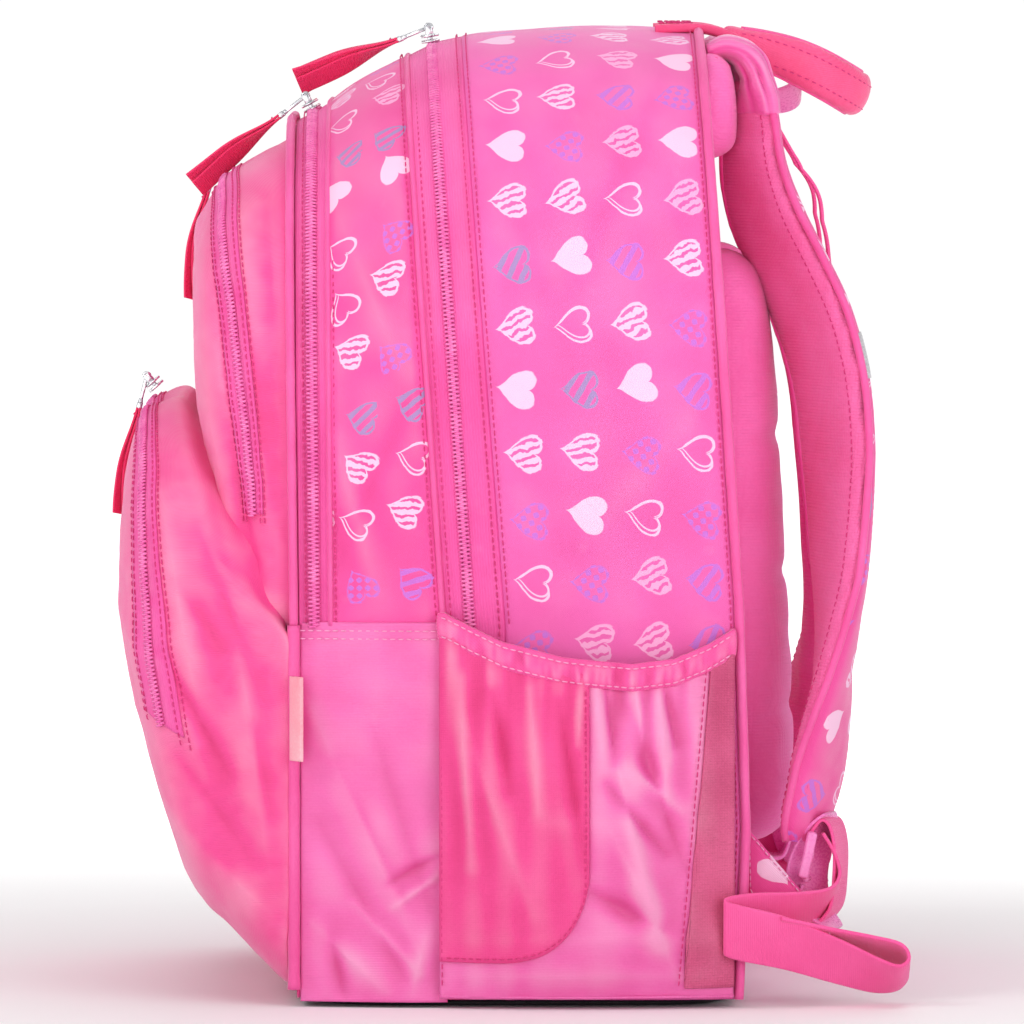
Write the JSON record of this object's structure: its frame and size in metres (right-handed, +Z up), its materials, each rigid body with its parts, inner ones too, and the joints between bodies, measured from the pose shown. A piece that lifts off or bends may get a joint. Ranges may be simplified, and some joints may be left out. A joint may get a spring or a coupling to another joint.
{
  "type": "school backpack",
  "caption": "Pink school backpack with heart print, two zipped compartments, front pockets, elastic side pockets and padded straps.",
  "frame": {"origin": "on the floor under the middle of the base panel", "axes": "+Z up, -Y out of the front pockets, +Y out of the padded back; +X is the wearer's right"},
  "size_m": [0.3418, 0.3415, 0.4129],
  "materials": {
    "print_cloth": "hot pink polyester printed with small hearts",
    "plain_cloth": "plain pink polyester twill",
    "satin_cloth": "shiny satin-woven pink polyester",
    "air_mesh": "light pink spacer mesh over foam",
    "zip_tape": "pink zip tape with a fine nylon coil",
    "piping": "pink covered piping cord",
    "webbing": "deep pink woven polyester webbing",
    "satin_webbing": "pale violet-pink satin webbing",
    "puller_cloth": "crimson folded fabric",
    "handle_cloth": "coral-pink padded fabric",
    "hem_elastic": "pink elastic binding",
    "base_cloth": "black coated polyester",
    "board": "white polyethylene stiffener sheet",
    "label_cloth": "blank woven label",
    "metal": "nickel-plated zinc",
    "buckle": "pale violet-pink acetal"
  },
  "bodies": {
    "root": {"base_panel": "base_cloth", "back_panel": "air_mesh", "back_board": "board", "main_gusset": "print_cloth", "side_wall_left": "print_cloth", "side_wall_right": "print_cloth", "main_zip_rear": "zip_tape", "rear_piping": "piping", "upper_back_pad": "air_mesh", "lower_back_pad_left": "air_mesh", "lower_back_pad_right": "air_mesh", "strap_yoke": "plain_cloth", "hang_loop": "satin_webbing", "side_pocket_left": "satin_cloth", "side_pocket_right": "satin_cloth", "pocket_hem_left": "hem_elastic", "pocket_hem_right": "hem_elastic", "satin_panel_left": "satin_cloth", "satin_panel_right": "satin_cloth", "lower_divider": "plain_cloth", "lower_front_panel": "plain_cloth", "lower_front_piping": "piping", "label_tab": "label_cloth", "front_pocket": "plain_cloth", "front_pocket_zip": "zip_tape", "strap_tab_left": "print_cloth", "strap_tab_right": "print_cloth", "strap_webbing_left": "satin_webbing", "strap_webbing_right": "satin_webbing"},
    "front_leaf": {"main_zip_front": "zip_tape", "mid_gusset": "print_cloth", "upper_divider": "plain_cloth", "second_zip": "zip_tape", "upper_front_panel": "plain_cloth", "upper_front_piping": "piping", "front_compartment": "plain_cloth", "front_compartment_zip": "zip_tape"},
    "handle": {"grab_handle": "handle_cloth"},
    "strap_left": {"strap_pad_left": "print_cloth", "strap_rail_left": "webbing", "webbing_tail_left": "webbing"},
    "lock_left": {"ladder_lock_left": "buckle"},
    "main_slider_left": {"main_slider_left": "metal"},
    "main_puller_left": {"main_puller_left": "metal", "main_ribbon_left": "puller_cloth"},
    "strap_right": {"strap_pad_right": "print_cloth", "strap_rail_right": "webbing", "webbing_tail_right": "webbing"},
    "lock_right": {"ladder_lock_right": "buckle"},
    "main_slider_right": {"main_slider_right": "metal"},
    "main_puller_right": {"main_puller_right": "metal", "main_ribbon_right": "puller_cloth"},
    "second_slider": {"second_slider": "metal"},
    "second_puller": {"second_puller": "metal", "second_ribbon": "puller_cloth"},
    "front_slider": {"front_slider": "metal"},
    "front_puller": {"front_puller": "metal", "front_ribbon": "puller_cloth"},
    "pocket_slider": {"pocket_slider": "metal"},
    "pocket_puller": {"pocket_puller": "metal"}
  },
  "joints": [
    {"name": "main_opening", "type": "hinge", "parent": "root", "child": "front_leaf", "pos_m": [0, -0.033, 0.161], "axis": [1, 0, 0], "range_deg": [0, 18], "deforming": ["satin_panel_left", "satin_panel_right", "lower_front_panel", "lower_front_piping", "front_pocket", "front_pocket_zip"]},
    {"name": "handle_swing", "type": "hinge", "parent": "root", "child": "handle", "pos_m": [0, 0.086, 0.406], "axis": [1, 0, 0], "range_deg": [0, 65]},
    {"name": "strap_swing_left", "type": "hinge", "parent": "root", "child": "strap_left", "pos_m": [-0.054, 0.092, 0.394], "axis": [1, 0, 0], "range_deg": [0, 30]},
    {"name": "lock_tilt_left", "type": "hinge", "parent": "strap_left", "child": "lock_left", "pos_m": [-0.117, 0.1233, 0.0715], "axis": [1, 0, 0], "range_deg": [-8, 8]},
    {"name": "main_slide_left", "type": "slide", "parent": "front_leaf", "child": "main_slider_left", "axis": [-1, 0, 0], "range_m": [-0.004, 0.018]},
    {"name": "main_pull_left", "type": "hinge", "parent": "main_slider_left", "child": "main_puller_left", "pos_m": [-0.01, -0.03942, 0.41094], "axis": [-1, 0, 0], "range_deg": [0, 110]},
    {"name": "strap_swing_right", "type": "hinge", "parent": "root", "child": "strap_right", "pos_m": [0.054, 0.092, 0.394], "axis": [1, 0, 0], "range_deg": [0, 30]},
    {"name": "lock_tilt_right", "type": "hinge", "parent": "strap_right", "child": "lock_right", "pos_m": [0.117, 0.1233, 0.0715], "axis": [1, 0, 0], "range_deg": [-8, 8]},
    {"name": "main_slide_right", "type": "slide", "parent": "front_leaf", "child": "main_slider_right", "axis": [1, 0, 0], "range_m": [-0.004, 0.018]},
    {"name": "main_pull_right", "type": "hinge", "parent": "main_slider_right", "child": "main_puller_right", "pos_m": [0.01, -0.03942, 0.41094], "axis": [-1, 0, 0], "range_deg": [0, 110]},
    {"name": "second_slide", "type": "slide", "parent": "front_leaf", "child": "second_slider", "axis": [1, 0, 0], "range_m": [-0.04, 0.006]},
    {"name": "second_pull", "type": "hinge", "parent": "second_slider", "child": "second_puller", "pos_m": [0.012, -0.0921, 0.38173], "axis": [-1, 0, 0], "range_deg": [0, 100]},
    {"name": "front_slide", "type": "slide", "parent": "front_leaf", "child": "front_slider", "axis": [1, 0, 0], "range_m": [-0.008, 0.045]},
    {"name": "front_pull", "type": "hinge", "parent": "front_slider", "child": "front_puller", "pos_m": [-0.034, -0.13147, 0.35287], "axis": [-1, 0, 0], "range_deg": [0, 100]},
    {"name": "pocket_slide", "type": "slide", "parent": "front_leaf", "child": "pocket_slider", "axis": [1, 0, 0], "range_m": [-0.008, 0.07]},
    {"name": "pocket_pull", "type": "hinge", "parent": "pocket_slider", "child": "pocket_puller", "pos_m": [-0.03, -0.16233, 0.25898], "axis": [-1, 0, 0], "range_deg": [0, 100]}
  ]
}
